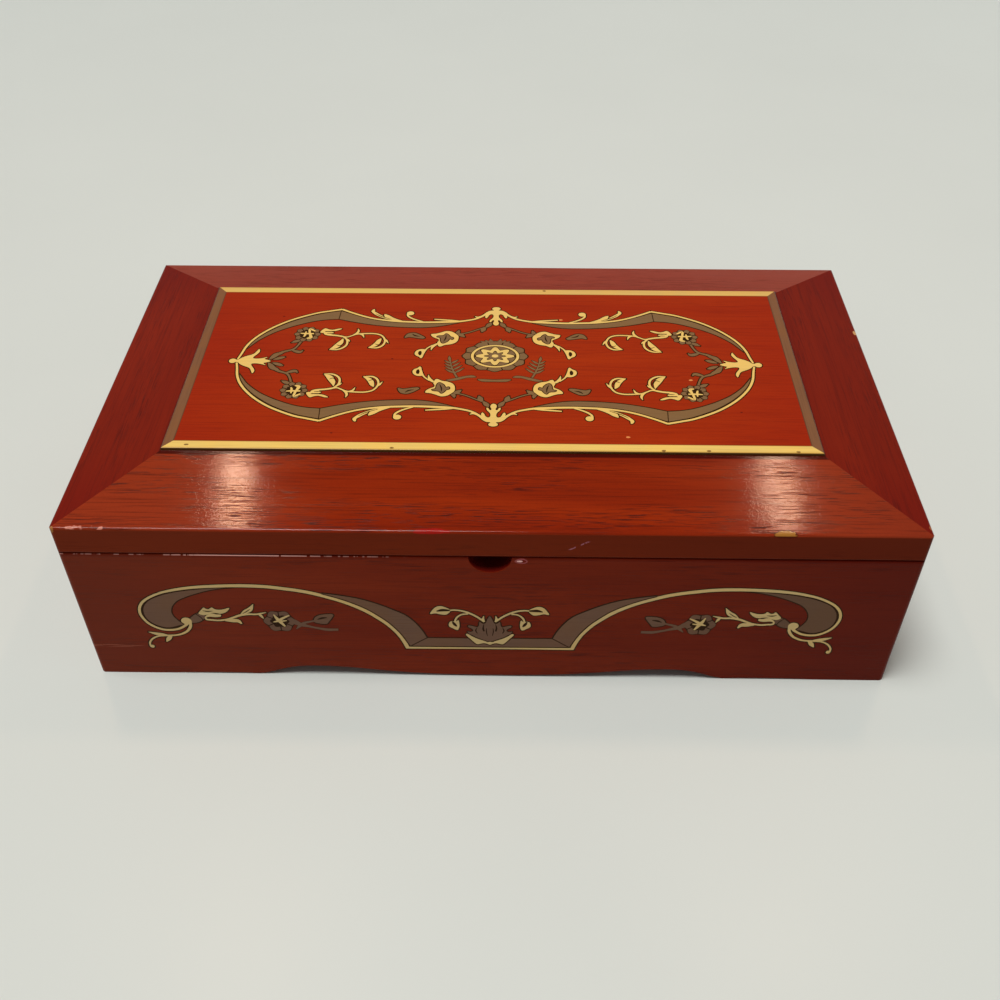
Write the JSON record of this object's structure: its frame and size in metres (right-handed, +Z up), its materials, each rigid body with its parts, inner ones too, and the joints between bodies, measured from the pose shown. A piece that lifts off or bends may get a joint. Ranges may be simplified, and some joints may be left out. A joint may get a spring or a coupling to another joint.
{
  "type": "musical jewelry box",
  "caption": "Lidded inlaid wooden jewelry box on shaped feet, with velvet compartments, a mirror in the lid and a cylinder music movement.",
  "frame": {"origin": "on the surface the box stands on, under the middle of its footprint", "axes": "+X to the right of someone facing the front, +Y to the back, +Z up"},
  "size_m": [0.305, 0.174, 0.0871],
  "materials": {
    "front_lacquer": "dark red lacquered mahogany, high gloss",
    "side_lacquer": "dark red lacquered mahogany, high gloss",
    "rail_lacquer": "orange red lacquered mahogany, high gloss",
    "panel_lacquer": "red orange lacquered veneer, high gloss",
    "pale_inlay": "pale maple inlay under lacquer",
    "grey_inlay": "grey brown inlay under lacquer",
    "plain_wood": "unfinished beech or plywood",
    "velvet": "deep red velvet",
    "clear_window": "clear sheet",
    "silvered_glass": "silvered glass",
    "gilt_moulding": "gilt wood moulding",
    "brass": "polished brass",
    "steel": "bright steel",
    "spring_steel": "blued spring steel",
    "cast_plate": "tumbled cast alloy"
  },
  "bodies": {
    "case": {"front_wall": "front_lacquer", "back_wall": "side_lacquer", "left_wall": "side_lacquer", "right_wall": "side_lacquer", "bottom_board": "plain_wood", "corner_blocks": "plain_wood", "board_screws": "steel", "front_lining": "velvet", "back_lining": "velvet", "left_lining": "velvet", "right_lining": "velvet", "main_floor_lining": "velvet", "roll_floor_lining": "velvet", "long_divider": "velvet", "movement_divider": "velvet", "tray_divider": "velvet", "ring_rolls": "velvet", "window_ledges": "velvet", "movement_window": "clear_window", "hinge_base_leaves": "brass", "hinge_pins": "brass", "base_hinge_screws": "brass", "bedplate": "cast_plate", "movement_screws": "steel", "spring_housing": "brass", "mainspring": "spring_steel", "left_bearing": "brass", "right_bearing": "brass", "comb": "steel", "comb_screws": "steel", "governor_frame": "brass", "bracket_screws": "steel", "stop_guide": "brass", "stop_spring": "spring_steel"},
    "lid": {"lid_front_rail": "rail_lacquer", "lid_back_rail": "rail_lacquer", "lid_left_rail": "rail_lacquer", "lid_right_rail": "rail_lacquer", "lid_panel": "panel_lacquer", "gold_strips": "pale_inlay", "taupe_strips": "grey_inlay", "lid_lining": "velvet", "mirror_glass": "silvered_glass", "mirror_frame": "gilt_moulding", "hinge_lid_leaves": "brass", "lid_hinge_screws": "brass"},
    "winding": {"winding_arbor": "steel", "winding_key": "brass", "drive_wheel": "brass"},
    "cylinder": {"cylinder": "brass", "cylinder_arbor": "steel", "cylinder_gear": "brass"},
    "governor": {"governor_wheel": "brass"},
    "fly": {"governor_worm": "steel", "fan": "brass"},
    "stop": {"stop_rod": "steel", "stop_collar": "brass"}
  },
  "joints": [
    {"name": "lid_hinge", "type": "hinge", "parent": "case", "child": "lid", "pos_m": [0, 0.084, 0.066], "axis": [-1, 0, 0], "range_deg": [0, 94]},
    {"name": "stop_rod_slide", "type": "slide", "parent": "case", "child": "stop", "axis": [0, 0, 1], "range_m": [0, 0.004], "deforming": ["stop_spring"]},
    {"name": "cylinder_turn", "type": "hinge", "parent": "case", "child": "cylinder", "pos_m": [-0.1025, 0.046, 0.039], "axis": [1, 0, 0], "continuous": true},
    {"name": "winding_turn", "type": "hinge", "parent": "case", "child": "winding", "pos_m": [-0.1185, 0.046, 0.023], "axis": [0, 0, 1], "continuous": true},
    {"name": "governor_turn", "type": "hinge", "parent": "case", "child": "governor", "pos_m": [-0.1025, 0.0556, 0.0362], "axis": [1, 0, 0], "continuous": true},
    {"name": "fly_turn", "type": "hinge", "parent": "case", "child": "fly", "pos_m": [-0.0771, 0.0624, 0.023], "axis": [0, 0, 1], "continuous": true}
  ],
  "couplings": [
    {"joint": "stop_rod_slide", "follows": "lid_hinge", "m_per_rad": 0.0024379},
    {"joint": "winding_turn", "follows": "cylinder_turn", "ratio": 0.26667},
    {"joint": "governor_turn", "follows": "cylinder_turn", "ratio": -4},
    {"joint": "fly_turn", "follows": "cylinder_turn", "ratio": 80}
  ]
}
